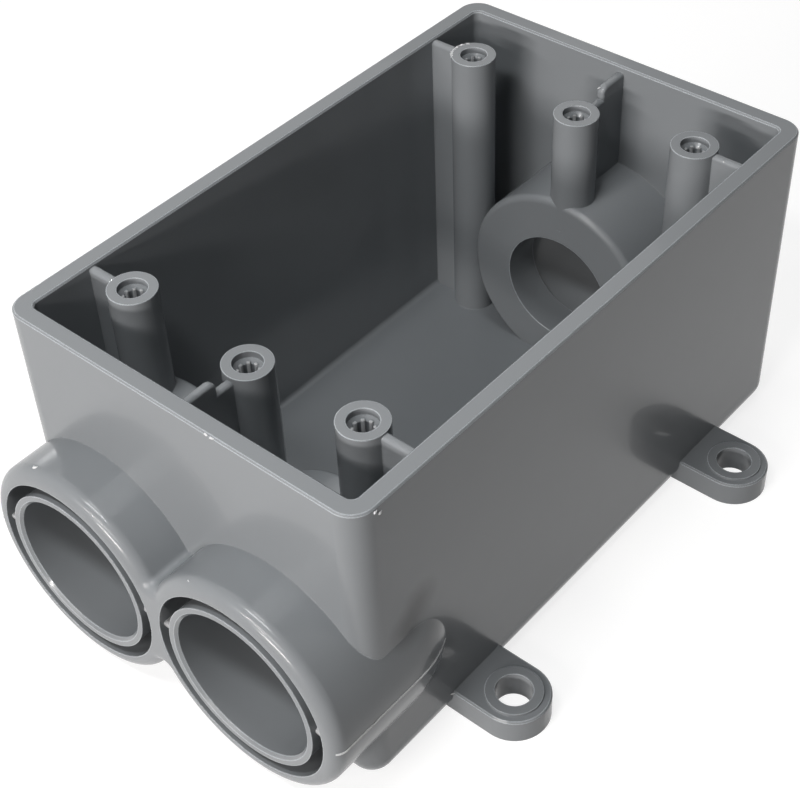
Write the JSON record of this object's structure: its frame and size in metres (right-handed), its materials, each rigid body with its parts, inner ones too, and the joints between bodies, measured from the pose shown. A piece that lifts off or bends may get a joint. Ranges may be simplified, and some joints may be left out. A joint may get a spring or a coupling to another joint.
{
  "type": "weatherproof box",
  "caption": "Moulded plastic surface-mount electrical box with an open mouth, round conduit sockets, mounting lugs and screw bosses.",
  "frame": {"origin": "centre of the flat back face, midway between the two ends and the two sides of the box", "axes": "+Z from the back face out of the open mouth, +Y along the box towards the end with one socket, +X towards one pair of lugs"},
  "size_m": [0.1, 0.1352, 0.0613],
  "materials": {
    "grey_pvc": "satin moulded grey plastic"
  },
  "bodies": {
    "root": {"box_body": "grey_pvc"}
  },
  "joints": []
}
